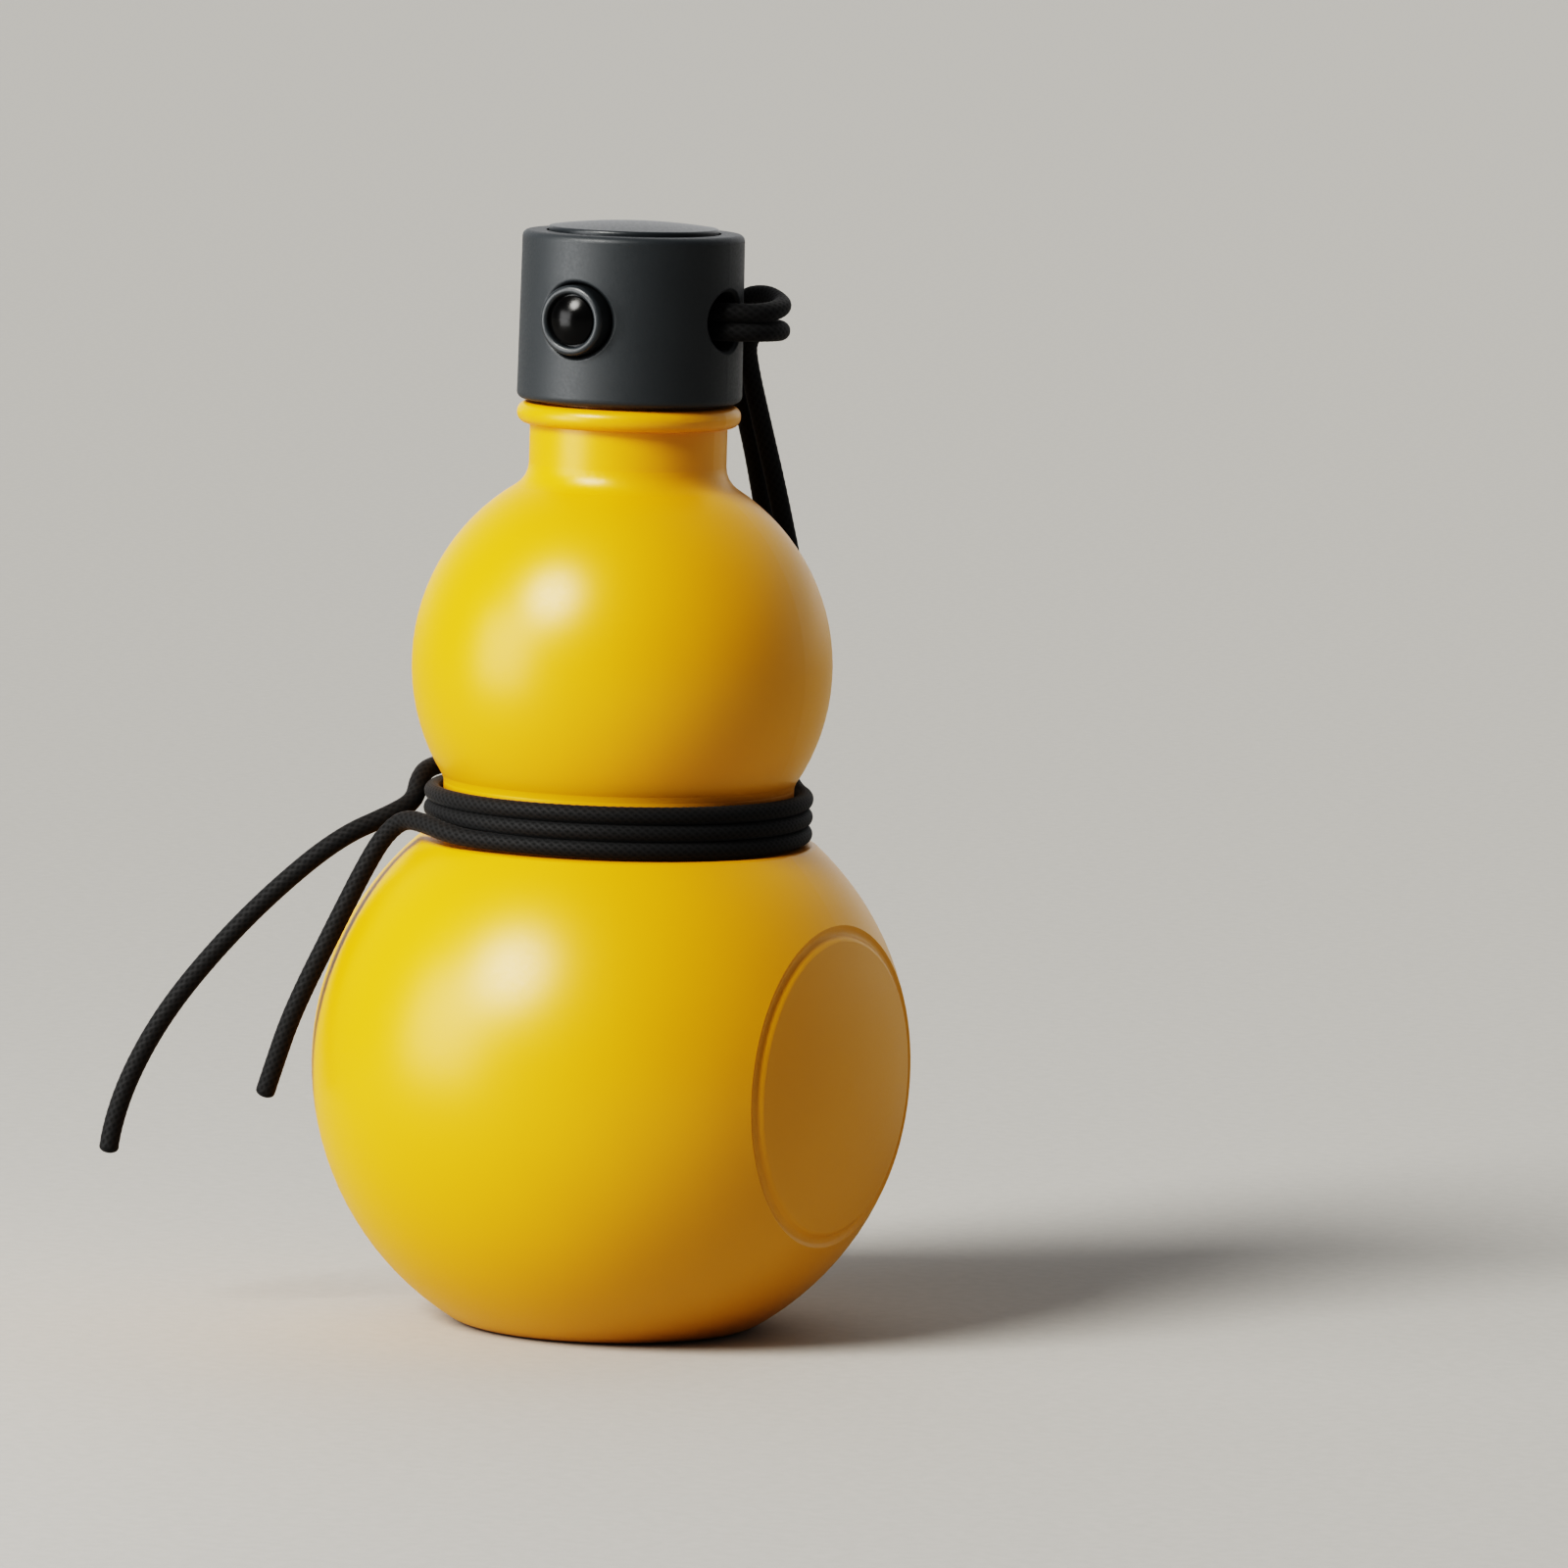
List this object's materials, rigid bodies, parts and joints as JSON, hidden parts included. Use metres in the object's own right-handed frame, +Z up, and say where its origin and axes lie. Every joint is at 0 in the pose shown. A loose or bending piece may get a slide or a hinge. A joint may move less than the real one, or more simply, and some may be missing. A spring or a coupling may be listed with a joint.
{
  "type": "water bottle",
  "caption": "Gourd-shaped water bottle: waisted double-globe body with sunk round panels, tall screw cap with a push-button cord lock, and a cord wound round the waist.",
  "frame": {"origin": "middle of the dished base, level with the ring the bottle stands on", "axes": "+Z up along the bottle's axis; -Y the way the button faces; +X the side of the cap where the cord comes out, with a round panel at +X and at -X"},
  "size_m": [0.1185, 0.1, 0.1843],
  "materials": {
    "body_satin": "satin yellow",
    "cap_matte": "fine matt dark grey",
    "liner_plastic": "plain moulded black",
    "button_gloss": "polished black",
    "gasket_silicone": "translucent white silicone",
    "spring_steel": "drawn wire",
    "cord_braid": "braided black cord"
  },
  "bodies": {
    "bottle": {"bottle_shell": "body_satin"},
    "strap": {"cord_riser_right": "cord_braid", "cord_riser_left": "cord_braid", "waist_winding": "cord_braid", "knot_strand": "cord_braid", "long_tail": "cord_braid", "short_tail": "cord_braid"},
    "cap": {"cap_shell": "cap_matte", "cap_liner": "liner_plastic", "cap_gasket": "gasket_silicone", "cap_top_plate": "cap_matte", "lock_barrel": "liner_plastic", "lock_spring": "spring_steel", "cap_cord": "cord_braid"},
    "button": {"lock_plunger": "cap_matte", "button_dome": "button_gloss"}
  },
  "joints": [
    {"name": "cap_turn", "type": "hinge", "parent": "bottle", "child": "strap", "pos_m": [0, 0, 0], "axis": [0, 0, 1], "range_deg": [0, 450]},
    {"name": "cap_lift", "type": "slide", "parent": "strap", "child": "cap", "axis": [0, 0, 1], "range_m": [0, 0.0075]},
    {"name": "button_press", "type": "slide", "parent": "cap", "child": "button", "axis": [0, 1, 0], "range_m": [0, 0.0022], "stiffness_N_per_m": 400, "deforming": ["lock_spring"]}
  ],
  "couplings": [
    {"joint": "cap_lift", "follows": "cap_turn", "m_per_rad": 0.00095493}
  ]
}
